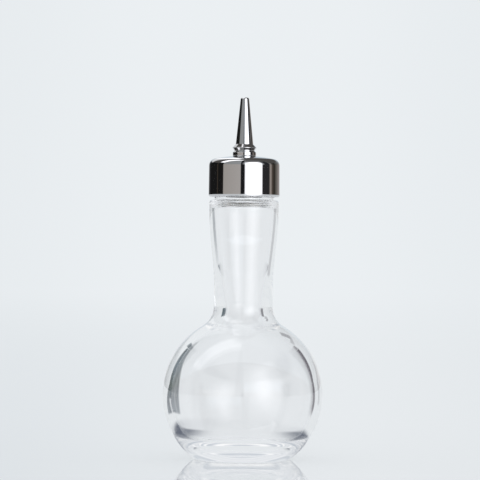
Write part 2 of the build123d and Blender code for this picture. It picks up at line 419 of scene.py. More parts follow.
def crossing(first, second):
    """Where two curves of points cross: the segment and the share of it on each, and the place."""
    for i in range(len(first) - 2, -1, -1):
        (ax, ay), (bx, by) = first[i], first[i + 1]
        for j in range(len(second) - 1):
            (cx, cy), (dx, dy) = second[j], second[j + 1]
            det = (bx - ax) * (dy - cy) - (by - ay) * (dx - cx)
            if abs(det) < PARALLEL:
                continue
            s = ((cx - ax) * (dy - cy) - (cy - ay) * (dx - cx)) / det
            t = ((cx - ax) * (by - ay) - (cy - ay) * (bx - ax)) / det
            if all(-CROSSING_SLACK <= share <= 1 + CROSSING_SLACK for share in (s, t)):
                return i, s, j, t, (ax + (bx - ax) * s, ay + (by - ay) * s)
    raise ValueError("the two curves don't meet")


def along(curve, i, share):
    """The place at a share of a curve's segment."""
    (ax, ay), (bx, by) = curve[i], curve[i + 1]
    return (ax + (bx - ax) * share, ay + (by - ay) * share)


def rounded(curves, roundings):
    """One outline from curves that meet or cross, with each corner between them rounded."""
    outline = list(curves[0])
    for curve, radius in zip(curves[1:], roundings):
        if not radius:
            outline += curve[1:]
            continue
        i, s, j, t, _ = crossing(outline, curve)
        ax, ay = outline[i + 1][0] - outline[i][0], outline[i + 1][1] - outline[i][1]
        bx, by = curve[j + 1][0] - curve[j][0], curve[j + 1][1] - curve[j][1]
        side = math.copysign(1, ax * by - ay * bx)
        i, s, j, t, centre = crossing(offset_line(outline, side * radius), offset_line(curve, side * radius))
        leave, enter = along(outline, i, s), along(curve, j, t)
        a0 = math.degrees(math.atan2(leave[1] - centre[1], leave[0] - centre[0]))
        a1 = math.degrees(math.atan2(enter[1] - centre[1], enter[0] - centre[0]))
        sweep = (a1 - a0) * side % 360 * side
        count = max(ROUNDING_STEPS_LEAST, round(ROUNDING_STEPS * abs(sweep) / 45) + 1)
        outline = outline[: i + 1] + arc(centre, radius, a0, a0 + sweep, count) + curve[j + 1 :]
    return outline


def spun(name, outline, body, stands_for, ridge=None):
    """A mesh turned about the axis from an outline, which may carry a ridge. It stands for a CAD node."""
    points = [p for p, q in zip(outline, outline[1:] + outline[:1]) if math.dist(p, q) > SAME_PLACE]
    verts, rings = [], []
    for radius, height in points:
        if radius < ON_AXIS:
            rings.append([len(verts)] * TURN_STEPS)
            verts.append((0, 0, height * MM))
            continue
        rings.append(range(len(verts), len(verts) + TURN_STEPS))
        for k in range(TURN_STEPS):
            angle = 2 * math.pi * k / TURN_STEPS
            r = radius + (ridge(radius, height, angle) if ridge else 0)
            verts.append((r * math.cos(angle) * MM, r * math.sin(angle) * MM, height * MM))
    pairs = list(zip(rings, rings[1:]))
    if points[0][0] > ON_AXIS and points[-1][0] > ON_AXIS:
        pairs.append((rings[-1], rings[0]))
    faces = []
    for low, high in pairs:
        for k in range(TURN_STEPS):
            n = (k + 1) % TURN_STEPS
            corners = list(dict.fromkeys([low[k], low[n], high[n], high[k]]))
            if len(corners) > 2:
                faces.append(corners)
    mesh = bpy.data.meshes.new(name)
    mesh.from_pydata(verts, [], faces)
    mesh.shade_smooth()
    mesh.set_sharp_from_angle(angle=math.radians(SHARP_DEGREES))
    piece = bpy.data.objects.new(name, mesh)
    bpy.context.scene.collection.objects.link(piece)
    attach(piece, body)
    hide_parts(stands_for)
    return piece


def thread(wall_radius, start, turns, direction):
    """A ridge that winds up a wall as a right-handed thread, outwards (1) or inwards (-1)."""
    first, last = turns

    def rise(radius, height, angle):
        climbed = (height - start) / THREAD_PITCH
        wound = angle / (2 * math.pi) + round(climbed - angle / (2 * math.pi))
        if abs(radius - wall_radius) > THREAD_WALL_SLACK or not first <= wound <= last:
            return 0
        away = abs(climbed - wound) * THREAD_PITCH
        share = min(1, max(0, (THREAD_HALF_WIDTH - away) / THREAD_FLANK))
        ends = min(1, (wound - first) / THREAD_FADE, (last - wound) / THREAD_FADE)
        return direction * THREAD_DEPTH * share * share * (3 - 2 * share) * ends

    return rise


def bottle_outline():
    """The glass from the middle of its foot, up the outside, over the rim and down to the floor."""
    push_up_ball = (PUSH_UP_RADIUS**2 + PUSH_UP_HEIGHT**2) / (2 * PUSH_UP_HEIGHT)
    foot_radius = math.sqrt(GLOBE_RADIUS**2 - GLOBE_CENTRE**2)
    foot_angle = -math.degrees(math.asin(GLOBE_CENTRE / GLOBE_RADIUS))
    curves = [
        arc((0, PUSH_UP_HEIGHT - push_up_ball), push_up_ball, *PUSH_UP_DEGREES, 24),
        straight((PUSH_UP_RADIUS - FOOT_OVERRUN, 0), (foot_radius + FOOT_OVERRUN, 0), 30),
        arc((0, GLOBE_CENTRE), GLOBE_RADIUS, foot_angle - GLOBE_OVERRUN_DEGREES, GLOBE_END_DEGREES, 130),
        straight((WAIST_RADIUS, WAIST_OVERRUN_HEIGHT), (WAIST_RADIUS, WAIST_TOP), 40),
        straight((WAIST_RADIUS, WAIST_TOP), (FLARE_RADIUS, FLARE_TOP), 30),
        straight((FLARE_RADIUS, FLARE_TOP), (FLARE_RADIUS, LEDGE_TOP), 30),
        straight((FLARE_RADIUS, LEDGE_TOP), (BEAD_RADIUS, LEDGE_TOP), 8),
        straight((BEAD_RADIUS, LEDGE_TOP), (BEAD_RADIUS, BEAD_TOP), 8),
        straight((BEAD_RADIUS, BEAD_TOP), (FINISH_RADIUS, BEAD_TOP), 6),
        straight((FINISH_RADIUS, BEAD_TOP), (FINISH_RADIUS, RIM_TOP), 90),
        straight((FINISH_RADIUS, RIM_TOP), (FINISH_BORE_RADIUS, RIM_TOP), 8),
        straight((FINISH_BORE_RADIUS, RIM_TOP), (FINISH_BORE_RADIUS, BORE_TOP[1]), 24),
        straight((FINISH_BORE_RADIUS, BORE_TOP[1]), BORE_TOP, 16),
        bowed(BORE_TOP, BORE_FOOT, BORE_BOW, 70),
        arc((0, GLOBE_CENTRE), HOLLOW_RADIUS, *HOLLOW_DEGREES, 140),
        straight((HOLLOW_RADIUS, FLOOR_HEIGHT), (0, FLOOR_HEIGHT), 40),
    ]
    roundings = [
        PUSH_UP_ROUNDING,
        HEEL_ROUNDING,
        WAIST_ROOT_ROUNDING,
        FLARE_START_ROUNDING,
        FLARE_END_ROUNDING,
        LEDGE_ROUNDING,
        BEAD_ROUNDING,
        BEAD_ROUNDING,
        BEAD_ROUNDING,
        RIM_ROUNDING,
        RIM_ROUNDING,
        BORE_EXIT_ROUNDING,
        BORE_TOP_ROUNDING,
        BORE_FOOT_ROUNDING,
        FLOOR_ROUNDING,
    ]
    return rounded(curves, roundings)


def cap_curves(inset):
    """The cap's foot, wall and crown at a depth inside its outer skin, each a little over its length."""
    dome = (CAP_SHOULDER_RADIUS**2 + CROWN_DROP**2) / (2 * CROWN_DROP)
    centre = (0, CROWN_TOP - dome)
    lean = (CAP_SHOULDER_RADIUS - CAP_FOOT_RADIUS) / (CROWN_TOP - CROWN_DROP - CAP_FOOT)
    foot = straight((0, CAP_FOOT + inset), (CAP_FOOT_RADIUS + CAP_OVERRUN, CAP_FOOT + inset), 60)
    wall = straight(
        (CAP_FOOT_RADIUS - lean * CAP_OVERRUN, CAP_FOOT - CAP_OVERRUN),
        (CAP_SHOULDER_RADIUS + lean * CAP_OVERRUN, CROWN_TOP - CROWN_DROP + CAP_OVERRUN),
        60,
    )
    shoulder_angle = math.degrees(math.acos((CAP_SHOULDER_RADIUS + CAP_OVERRUN) / dome))
    crown = arc(centre, dome - inset, shoulder_angle, 90, 60)
    return foot, offset_line(wall, inset), crown


def cut(curve, radius):
    """The part of a curve that lies outside a radius, ending exactly on it."""
    kept = [p for p in curve if p[0] > radius]
    for a, b in zip(curve, curve[1:]):
        if (a[0] - radius) * (b[0] - radius) <= 0 and a[0] != b[0]:
            share = (radius - a[0]) / (b[0] - a[0])
            edge = (radius, a[1] + (b[1] - a[1]) * share)
            return [edge] + kept if b[0] > a[0] else kept + [edge]
    return kept


def shell_outline():
    """The drawn metal shell: round the outside from the hem to the nozzle's hole, and back inside."""
    foot, wall, crown = cap_curves(0)
    inner_foot, inner_wall, inner_crown = cap_curves(SHELL_THICKNESS)
    outside = rounded(
        [cut(foot, HEM_RADIUS), wall, cut(crown, COLLAR_RADIUS)],
        [HEM_ROUNDING, CROWN_ROUNDING],
    )
    inside = rounded(
        [cut(inner_foot, HEM_RADIUS), inner_wall, cut(inner_crown, SHANK_HOLE_RADIUS)],
        [HEM_ROUNDING - SHELL_THICKNESS, CROWN_ROUNDING - SHELL_THICKNESS],
    )
    inside.reverse()
    seat = [(COLLAR_RADIUS, NOZZLE_SEAT), (SHANK_HOLE_RADIUS, NOZZLE_SEAT)]
    return outside + seat + inside


def liner_outline():
    """The moulded liner: up its outside, over the roof with the ring's recess, and down the thread's bore."""
    _, wall, crown = cap_curves(SHELL_THICKNESS + LINER_CLEARANCE)
    foot = straight((LINER_BORE_RADIUS + LINER_LEAD_IN, LINER_FOOT), (CAP_FOOT_RADIUS, LINER_FOOT), 8)
    corner = CROWN_ROUNDING - SHELL_THICKNESS - LINER_CLEARANCE
    outside = rounded([foot, wall, cut(crown, RECESS_RADIUS)], [LINER_EDGE, corner])
    roof = [
        (RECESS_RADIUS, RECESS_FLOOR),
        (SHANK_HOLE_RADIUS, RECESS_FLOOR),
        (SHANK_HOLE_RADIUS, LINER_ROOF),
    ]
    bore = straight((LINER_BORE_RADIUS, LINER_ROOF), (LINER_BORE_RADIUS, LINER_FOOT + LINER_LEAD_IN), 80)
    return outside + roof + bore


def nozzle_outline():
    """The turned nozzle: out over the shank and the collars, up the cone and down the tapered bore."""

    def above(place):
        return (place[0], NOZZLE_SEAT + place[1])

    def run(start, end):
        return straight(start, end, 12)

    collar_foot = (COLLAR_RADIUS, NOZZLE_SEAT + COLLAR_FOOT)
    collar_top = (COLLAR_RADIUS, NOZZLE_SEAT + COLLAR_TOP)
    corners = [
        ((SHANK_BORE_RADIUS, SHANK_FOOT), 0),
        ((SHANK_RADIUS, SHANK_FOOT), SHANK_EDGE),
        ((SHANK_RADIUS, NOZZLE_SEAT), 0),
        ((COLLAR_FOOT_RADIUS, NOZZLE_SEAT), 0),
        (collar_foot, COLLAR_ROUNDING),
        (collar_top, COLLAR_ROUNDING),
        (above(GROOVE), GROOVE_ROUNDING),
        (above(RIDGE), RIDGE_ROUNDING),
        (above(CONE_ROOT), 0),
        ((TIP_RADIUS, NOZZLE_SEAT + NOZZLE_LENGTH), TIP_ROUNDING),
        ((ORIFICE_RADIUS, NOZZLE_SEAT + NOZZLE_LENGTH), 0),
        ((SHANK_BORE_RADIUS, NOZZLE_SEAT), 0),
        ((SHANK_BORE_RADIUS, SHANK_FOOT), 0),
    ]
    places = [place for place, _ in corners]
    curves = [run(a, b) for a, b in zip(places, places[1:])]
    return rounded(curves, [radius for _, radius in corners[1:-1]])


def put(tree, kind, values=None, **settings):
    """A node of a kind with its settings made and its sockets filled by values or links."""
    node = tree.nodes.new(kind)
    for key, value in settings.items():
        setattr(node, key, value)
    for key, value in (values or {}).items():
        if isinstance(value, bpy.types.NodeSocket):
            tree.links.new(value, node.inputs[key])
        else:
            node.inputs[key].default_value = value
    return node


def calc(tree, operation, *values):
    """The result of a Math node."""
    return put(tree, "ShaderNodeMath", dict(enumerate(values)), operation=operation).outputs[0]


def fade(tree, value, low, high, start=0, end=1):
    """A value that goes smoothly from start to end while another goes from low to high."""
    sockets = {"Value": value, "From Min": low, "From Max": high, "To Min": start, "To Max": end}
    return put(tree, "ShaderNodeMapRange", sockets, interpolation_type="SMOOTHSTEP").outputs[0]


def window(tree, value, low, high, soft):
    """One between low and high and zero outside, with soft edges."""
    rise = fade(tree, value, low - soft / 2, low + soft / 2)
    fall = fade(tree, value, high - soft / 2, high + soft / 2, 1, 0)
    return calc(tree, "MULTIPLY", rise, fall)


def mixed(tree, share, first, second):
    """A colour between two, by a share."""
    sockets = {"Factor": share, 6: first, 7: second}
    return put(tree, "ShaderNodeMix", sockets, data_type="RGBA").outputs[2]


def scaled(tree, color, factor):
    """A colour times a factor."""
    return put(tree, "ShaderNodeVectorMath", {0: color, "Scale": factor}, operation="SCALE").outputs[0]


def vector(tree, operation, *values):
    """The result of a Vector Math node, as a vector."""
    return put(tree, "ShaderNodeVectorMath", dict(enumerate(values)), operation=operation).outputs[0]


def length_of(tree, place):
    """How far a place lies from the origin."""
    return put(tree, "ShaderNodeVectorMath", {0: place}, operation="LENGTH").outputs["Value"]


def ramp(tree, share, stops):
    """A colour that runs through stops of (place, colour)."""
    node = put(tree, "ShaderNodeValToRGB", {"Fac": share})
    elements = node.color_ramp.elements
    elements[0].position, elements[0].color = stops[0]
    elements[1].position, elements[1].color = stops[-1]
    for position, color in stops[1:-1]:
        elements.new(position).color = color
    return node.outputs["Color"]


def surface(name, color, roughness, metallic=0.0):
    """A new material with its Principled shader, whose plain values sit on its own sockets."""
    material = bpy.data.materials.new(name)
    material.use_nodes = True
    shader = material.node_tree.nodes["Principled BSDF"]
    shader.inputs["Base Color"].default_value = color
    shader.inputs["Roughness"].default_value = roughness
    shader.inputs["Metallic"].default_value = metallic
    return material, material.node_tree, shader


def grain(tree, scale, detail=3.0, stretch=(1, 1, 1)):
    """Noise in the object's own space, in waves per metre, stretched by direction."""
    place = put(tree, "ShaderNodeTexCoord").outputs["Object"]
    place = put(tree, "ShaderNodeMapping", {"Vector": place, "Scale": stretch}).outputs[0]
    return put(tree, "ShaderNodeTexNoise", {"Vector": place, "Scale": scale, "Detail": detail}).outputs["Fac"]


def from_axis(tree):
    """How far a place lies from the object's axis, and its height."""
    place = put(tree, "ShaderNodeTexCoord").outputs["Object"]
    x, y, z = put(tree, "ShaderNodeSeparateXYZ", {0: place}).outputs
    square = calc(tree, "ADD", calc(tree, "POWER", x, 2), calc(tree, "POWER", y, 2))
    return calc(tree, "SQRT", square), z


def ringed(tree, across, scale):
    """Noise along a distance, in waves per metre."""
    noise = put(tree, "ShaderNodeTexNoise", {"W": across, "Scale": scale}, noise_dimensions="1D")
    return noise.outputs["Fac"]


def bump(tree, shader, height, distance):
    """Relief on a surface, from a height of 0 to 1 over a distance in metres."""
    relief = put(tree, "ShaderNodeBump", {"Height": height, "Distance": distance})
    tree.links.new(relief.outputs[0], shader.inputs["Normal"])


def emission(tree, color):
    """A shader that only gives light."""
    return put(tree, "ShaderNodeEmission", {"Color": color})


def blend(tree, share, first, second):
    """A shader between two, by a share."""
    return put(tree, "ShaderNodeMixShader", {0: share, 1: first.outputs[0], 2: second.outputs[0]})


def show(tree, shader):
    """A shader made the material's surface."""
    tree.links.new(shader.outputs[0], tree.nodes["Material Output"].inputs["Surface"])


def clear_glass():
    """Moulded clear glass: a little wavy, greyer where it is seen edge on, partly its own tint and partly
    painted shade for its dark edges, and giving off a pale painted glow where it traps rays.
    """
    material, tree, shader = surface("clear_glass", (1, 1, 1, 1), GLASS_ROUGHNESS)
    shader.inputs["Transmission Weight"].default_value = 1
    shader.inputs["IOR"].default_value = GLASS_IOR
    # Painted shade: greyer where the glass is seen edge on, partly its own tint and partly drawn dark edges
    facing = put(tree, "ShaderNodeLayerWeight").outputs["Facing"]
    color = mixed(tree, fade(tree, facing, *GLASS_EDGE_FACING), GLASS_FACE_COLOR, GLASS_EDGE_SHADE)
    tree.links.new(color, shader.inputs["Base Color"])
    bump(tree, shader, grain(tree, GLASS_WAVE_SCALE, 1.0, GLASS_WAVE_STRETCH), GLASS_WAVE_DEPTH)
    # Painted light: rays mirrored more than TRAPPED_REFLECTIONS times end in a pale glow that the glass gives
    # off itself, with faint rings
    radius, height = from_axis(tree)
    rings = ringed(tree, calc(tree, "ADD", radius, height), TRAPPED_RINGS)
    glow = emission(tree, mixed(tree, fade(tree, rings, *TRAPPED_RING_RANGE), *TRAPPED_GLOW_COLORS))
    reflections = put(tree, "ShaderNodeLightPath").outputs["Glossy Depth"]
    trapped = calc(tree, "GREATER_THAN", reflections, TRAPPED_REFLECTIONS)
    show(tree, blend(tree, trapped, shader, glow))
    return material


def chrome(name, roughness):
    """Polished chrome over drawn or turned metal, with faint waves, fine scratches and hazier patches."""
    material, tree, shader = surface(name, CHROME_COLOR, roughness, metallic=1.0)
    patches = grain(tree, CHROME_HAZE_SCALE, 5.0)
    haze = fade(tree, patches, *CHROME_HAZE_RANGE, roughness, roughness * CHROME_HAZE_GROWTH)
    tree.links.new(haze, shader.inputs["Roughness"])
    waves = grain(tree, CHROME_WAVE_SCALE, 2.0)
    scratches = grain(tree, CHROME_SCRATCH_SCALE, 2.0, CHROME_SCRATCH_STRETCH)
    bump(tree, shader, calc(tree, "MULTIPLY_ADD", scratches, CHROME_SCRATCH_SHARE, waves), CHROME_WAVE_DEPTH)
    return material


def moulded(name, color, roughness, glow=0.0):
    """Moulded plastic or rubber: a fine grain, slight mottling and, where it glows, light under its skin."""
    material, tree, shader = surface(name, color, roughness)
    darker = tuple(MOTTLE_SHARE * c for c in color[:3]) + (1,)
    mottle = fade(tree, grain(tree, MOTTLE_SCALE, 4.0), *PATCH_RANGE)
    tree.links.new(mixed(tree, mottle, darker, color), shader.inputs["Base Color"])
    shader.inputs["Subsurface Weight"].default_value = glow
    shader.inputs["Subsurface Radius"].default_value = SKIN_COLOR_REACH
    shader.inputs["Subsurface Scale"].default_value = SKIN_DEPTH
    wear = fade(tree, grain(tree, WEAR_SCALE, 4.0), *PATCH_RANGE, roughness, roughness * WEAR_GROWTH)
    tree.links.new(wear, shader.inputs["Roughness"])
    bump(tree, shader, grain(tree, MOULD_GRAIN_SCALE), MOULD_GRAIN_DEPTH)
    return material


def turned_steel():
    """Steel with the rings that turning leaves."""
    material, tree, shader = surface("turned_steel", STEEL_COLOR, STEEL_ROUGHNESS, metallic=1.0)
    radius, _ = from_axis(tree)
    rings = ringed(tree, radius, STEEL_RINGS)
    tree.links.new(fade(tree, rings, *PATCH_RANGE, *STEEL_RING_ROUGHNESS), shader.inputs["Roughness"])
    bump(tree, shader, rings, STEEL_RING_DEPTH)
    return material


def bearings(tree, place):
    """The turn in degrees from the camera towards +X, and the three parts, of a place or direction."""
    x, y, z = put(tree, "ShaderNodeSeparateXYZ", {0: place}).outputs
    turn = calc(tree, "ARCTAN2", x, calc(tree, "MULTIPLY", y, -1))
    return calc(tree, "MULTIPLY", turn, 180 / math.pi), x, y, z


def all_of(tree, first, *others):
    """The product of several shares."""
    for other in others:
        first = calc(tree, "MULTIPLY", first, other)
    return first


def any_of(tree, first, *others):
    """The largest of several shares."""
    for other in others:
        first = calc(tree, "MAXIMUM", first, other)
    return first


def echoed(tree, path):
    """One for a ray that glass or metal has mirrored on its way."""
    return calc(tree, "GREATER_THAN", path["Glossy Depth"], 0)


def backdrop(tree, across):
    """The pale backdrop, by how far to the side it is seen."""
    share = fade(tree, calc(tree, "ABSOLUTE", across), *BACKDROP_REACH)
    return mixed(tree, share, BACKDROP_MIDDLE, BACKDROP_SIDE)


def mirrored_panels(tree, degrees, climb, x, y, hot):
    """What metal and the outside of the glass mirror: panels round the object and softboxes above."""
    share = calc(tree, "MULTIPLY_ADD", degrees, 1 / 360, 0.5)
    panels = ramp(tree, share, [(0.5 + place / 360, color) for place, color in PANEL_STOPS])
    panels = scaled(tree, panels, PANEL_STRENGTH)
    panels = mixed(tree, fade(tree, climb, *HIGH_CLIMB), panels, vector(tree, "MULTIPLY", panels, HIGH_TINT))
    panels = mixed(tree, fade(tree, climb, *SOFT_CLIMB), panels, vector(tree, "MINIMUM", panels, SOFT_LEVEL))
    panels = mixed(tree, hot, panels, HOT_COLOR)
    over_right = all_of(tree, fade(tree, climb, *RIGHT_DARK_CLIMB), fade(tree, x, *RIGHT_DARK_SIDE))
    panels = mixed(tree, over_right, panels, RIGHT_DARK)
    over_back = all_of(tree, fade(tree, climb, *BACK_DARK_CLIMB), fade(tree, y, *BACK_DARK_DEPTH))
    panels = mixed(tree, over_back, panels, BACK_DARK)
    back_pale = all_of(tree, window(tree, degrees, *BACK_PALE_TURN), window(tree, climb, *BACK_PALE_CLIMB))
    panels = mixed(tree, back_pale, panels, BACK_PALE_COLOR)
    strip = all_of(
        tree,
        window(tree, y, *STRIP_DEPTH),
        window(tree, climb, *STRIP_CLIMB),
        fade(tree, x, *STRIP_SIDE, 1, 0),
    )
    back_left = all_of(tree, window(tree, degrees, *BACK_LEFT_TURN), window(tree, climb, *BACK_LEFT_CLIMB))
    return mixed(tree, any_of(tree, strip, back_left), panels, SOFTBOX_COLOR)


def studio():
    """The studio all round: pale to the camera and through the glass, with panels where it is mirrored."""
    world = bpy.data.worlds.new("studio")
    world.use_nodes = True
    bpy.context.scene.world = world
    tree = world.node_tree
    degrees, x, y, z = bearings(tree, put(tree, "ShaderNodeTexCoord").outputs["Generated"])
    climb = calc(tree, "MULTIPLY", calc(tree, "ARCSINE", z), 180 / math.pi)
    pale = backdrop(tree, x)
    narrow = window(tree, degrees, *HOT_TURN)
    high = window(tree, climb, *HOT_CLIMB)
    wide = fade(tree, climb, *HOT_WIDE_CLIMB, narrow, window(tree, degrees, *HOT_WIDE_TURN))
    outside = mirrored_panels(tree, degrees, climb, x, y, all_of(tree, wide, high))
    front = mirrored_panels(tree, degrees, climb, x, y, all_of(tree, narrow, high, INSIDE_HOT_SHARE))

    path = put(tree, "ShaderNodeLightPath").outputs
    through = path["Is Transmission Ray"]
    in_front = all_of(tree, echoed(tree, path), fade(tree, y, *INSIDE_FRONT, INSIDE_PANEL_SHARE, 0))
    seen = mixed(tree, through, outside, mixed(tree, in_front, pale, front))
    mirror = all_of(tree, path["Is Singular Ray"], path["Is Reflection Ray"])
    seen = mixed(tree, any_of(tree, path["Is Camera Ray"], mirror), seen, pale)
    sharp = any_of(tree, path["Is Camera Ray"], path["Is Glossy Ray"], through)
    light = mixed(tree, sharp, (1, 1, 1, 1), seen)
    tree.links.new(light, tree.nodes["Background"].inputs["Color"])


def own_light(tree, shader, side):
    """The floor's colour, darker on the left as painted shade, part of it as light of its own wherever it
    mirrors nothing.
    """
    sheet = mixed(tree, fade(tree, side, *FLOOR_SIDE), FLOOR_LEFT_SHADED, FLOOR_RIGHT)
    tree.links.new(scaled(tree, sheet, 1 - FLOOR_OWN_SHARE), shader.inputs["Base Color"])
    mirrored = put(tree, "ShaderNodeFresnel", {"IOR": FLOOR_IOR}).outputs[0]
    own = calc(tree, "MULTIPLY", calc(tree, "SUBTRACT", 1, mirrored), FLOOR_OWN_SHARE)
    tree.links.new(scaled(tree, sheet, own), shader.inputs["Emission Color"])
    shader.inputs["Emission Strength"].default_value = 1


def floor_seen(tree, place, side, distance, path):
    """The floor as metal and the glass see it: painted shade and reflection beside the foot, and a painted
    reflection of the hot light in its polish.
    """
    # Painted shade and reflection beside the foot, for metal and the glass
    foot_shade = all_of(
        tree,
        window(tree, calc(tree, "MULTIPLY_ADD", side, FOOT_SHADE_LEFTWARD, distance), *FOOT_SHADE_REACH),
        fade(tree, calc(tree, "ABSOLUTE", side), *FOOT_SHADE_SIDE),
    )
    degrees = bearings(tree, place)[0]
    near = calc(tree, "DIVIDE", FLOOR_HOT_REFLECTION_NEAR, calc(tree, "MAXIMUM", distance, FLOOR_HOT_REFLECTION_NEAR))
    away = calc(tree, "SUBTRACT", 1, near)
    # Painted reflection of the hot light in the floor's polish
    hot = all_of(tree, window(tree, degrees, *HOT_WIDE_TURN), away, echoed(tree, path), FLOOR_HOT_REFLECTION_SHARE)
    return mixed(tree, hot, mixed(tree, foot_shade, FLOOR_SEEN, FLOOR_FOOT_SHADE), HOT_COLOR)


def polished_floor():
    """The floor's material: a polished sheet near the object, and the backdrop's colour far away."""
    material, tree, shader = surface("polished_floor", FLOOR_RIGHT, 0.0)
    material.cycles.emission_sampling = "NONE"
    shader.inputs["IOR"].default_value = FLOOR_IOR
    place = put(tree, "ShaderNodeTexCoord").outputs["Object"]
    side = put(tree, "ShaderNodeSeparateXYZ", {0: place}).outputs[0]
    distance = length_of(tree, place)
    own_light(tree, shader, side)
    across = calc(tree, "DIVIDE", side, length_of(tree, vector(tree, "ADD", place, (0, CAMERA_DISTANCE, 0))))
    horizon = emission(tree, backdrop(tree, across))
    sheet = blend(tree, fade(tree, distance, *FLOOR_FADE), shader, horizon)
    path = put(tree, "ShaderNodeLightPath").outputs
    seen = emission(tree, floor_seen(tree, place, side, distance, path))
    show(tree, blend(tree, any_of(tree, path["Is Glossy Ray"], path["Is Transmission Ray"]), sheet, seen))
    return material


def studio_floor():
    """A very large, pale, polished sheet just under the foot, which fades into the backdrop far away."""
    mesh = bpy.data.meshes.new("studio_floor")
    quarters = [(-1, -1), (1, -1), (1, 1), (-1, 1)]
    corners = [(x * FLOOR_REACH, y * FLOOR_REACH, -FLOOR_DROP) for x, y in quarters]
    mesh.from_pydata(corners, [], [(0, 1, 2, 3)])
    floor = bpy.data.objects.new("studio_floor", mesh)
    bpy.context.scene.collection.objects.link(floor)
    mesh.materials.append(polished_floor())


def growing(tree, height, value, growth, start):
    """A value that grows with height above a start."""
    above = calc(tree, "MAXIMUM", calc(tree, "SUBTRACT", height, start), 0)
    return calc(tree, "MULTIPLY_ADD", above, growth, value)


def beyond(tree, degrees, edge, side):
    """Share of what lies past an edge, at larger turns (1) or at smaller ones (-1)."""
    past = calc(tree, "MULTIPLY", calc(tree, "SUBTRACT", degrees, edge), side)
    return fade(tree, past, -FLAG_EDGE, FLAG_EDGE)


def flag_ray(tree, place):
    """What the flags ask of a ray, in degrees and millimetres, and how well it fits each of their regions."""
    degrees, _, _, z = bearings(tree, place)
    height = calc(tree, "MULTIPLY", z, 1 / MM)
    path = put(tree, "ShaderNodeLightPath").outputs
    length = calc(tree, "MULTIPLY", path["Ray Length"], 1 / MM)
    excess = calc(tree, "SUBTRACT", length, growing(tree, height, *INNER_LENGTH_GROWING))
    inner = all_of(
        tree,
        fade(tree, excess, *INNER_LENGTH_EDGE),
        fade(tree, length, *INNER_LENGTH_END, 1, 0),
        fade(tree, height, *INNER_HEIGHT_END, 1, 0),
    )
    outer = all_of(
        tree,
        fade(tree, length, *OUTER_LENGTH_END, 1, 0),
        fade(tree, height, *OUTER_HEIGHT_END, 1, 0),
    )
    inner_root = all_of(
        tree,
        window(tree, length, *INNER_ROOT_LENGTH),
        window(tree, height, *INNER_ROOT_HEIGHT),
    )
    outer_root = all_of(
        tree,
        window(tree, length, *OUTER_ROOT_LENGTH),
        window(tree, height, *OUTER_ROOT_HEIGHT),
    )
    return SimpleNamespace(
        degrees=degrees,
        height=height,
        length=length,
        echoed=echoed(tree, path),
        inner=inner,
        outer=outer,
        inner_root=inner_root,
        outer_root=outer_root,
    )


def neck_mark(tree, ray, turns, lengths, heights, share):
    """A painted dark reflection in the neck or shoulder, by windows of turn and length, a fade of height and
    its share.
    """
    turned = window(tree, ray.degrees, *turns)
    return all_of(tree, turned, window(tree, ray.length, *lengths), fade(tree, ray.height, *heights), share)


def left_flag(tree, ray):
    """Share of the left flag's painted dark reflection that a ray meets."""
    inner_edge = calc(tree, "MAXIMUM", growing(tree, ray.height, *LEFT_INNER_GROWING), LEFT_INNER_LIMIT)
    inner = any_of(
        tree,
        all_of(tree, beyond(tree, ray.degrees, inner_edge, 1), ray.inner),
        all_of(tree, beyond(tree, ray.degrees, LEFT_INNER_ROOT, 1), ray.inner_root),
    )
    below = calc(tree, "MAXIMUM", calc(tree, "SUBTRACT", LEFT_OUTER_LOW, ray.height), 0)
    outer_edge = growing(tree, ray.height, *LEFT_OUTER_GROWING)
    outer_edge = calc(tree, "MULTIPLY_ADD", below, LEFT_OUTER_LOW_GROWTH, outer_edge)
    streak = all_of(
        tree,
        window(tree, ray.degrees, *LEFT_STREAK_TURN),
        fade(tree, ray.height, *LEFT_STREAK_HEIGHT, 1, 0),
    )
    streaked = calc(tree, "MULTIPLY_ADD", streak, -LEFT_STREAK_SHARE, 1)
    outer = any_of(
        tree,
        all_of(tree, beyond(tree, ray.degrees, outer_edge, 1), ray.outer, streaked),
        all_of(tree, beyond(tree, ray.degrees, LEFT_OUTER_ROOT, 1), ray.outer_root),
        neck_mark(tree, ray, *LEFT_NECK),
    )
    behind = fade(tree, ray.degrees, *LEFT_BEHIND, 1, 0)
    return all_of(tree, mixed(tree, ray.echoed, inner, outer), fade(tree, ray.height, *LEFT_FOOT), behind)


def right_flag(tree, ray):
    """Share of the right flag's painted dark reflection that a ray meets."""
    inner_edge = growing(tree, ray.height, *RIGHT_INNER_GROWING)
    inner = any_of(
        tree,
        all_of(tree, beyond(tree, ray.degrees, inner_edge, -1), ray.inner),
        all_of(tree, beyond(tree, ray.degrees, RIGHT_INNER_ROOT, -1), ray.inner_root, RIGHT_INNER_ROOT_SHARE),
    )
    outer_edge = growing(tree, ray.height, *RIGHT_OUTER_GROWING)
    shifted = calc(tree, "SUBTRACT", ray.degrees, growing(tree, ray.height, *RIGHT_ECHO_GROWING))
    echo = all_of(
        tree,
        window(tree, shifted, *RIGHT_ECHO_TURN),
        window(tree, ray.height, *RIGHT_ECHO_HEIGHT),
        RIGHT_ECHO_SHARE,
    )
    outer = any_of(
        tree,
        all_of(tree, beyond(tree, ray.degrees, outer_edge, -1), ray.outer),
        echo,
        all_of(tree, beyond(tree, ray.degrees, RIGHT_OUTER_ROOT, -1), ray.outer_root, RIGHT_OUTER_ROOT_SHARE),
        neck_mark(tree, ray, *RIGHT_NECK),
        neck_mark(tree, ray, *RIGHT_SHOULDER),
    )
    behind = fade(tree, ray.degrees, *RIGHT_BEHIND)
    return all_of(tree, mixed(tree, ray.echoed, inner, outer), fade(tree, ray.height, *RIGHT_FOOT), behind)


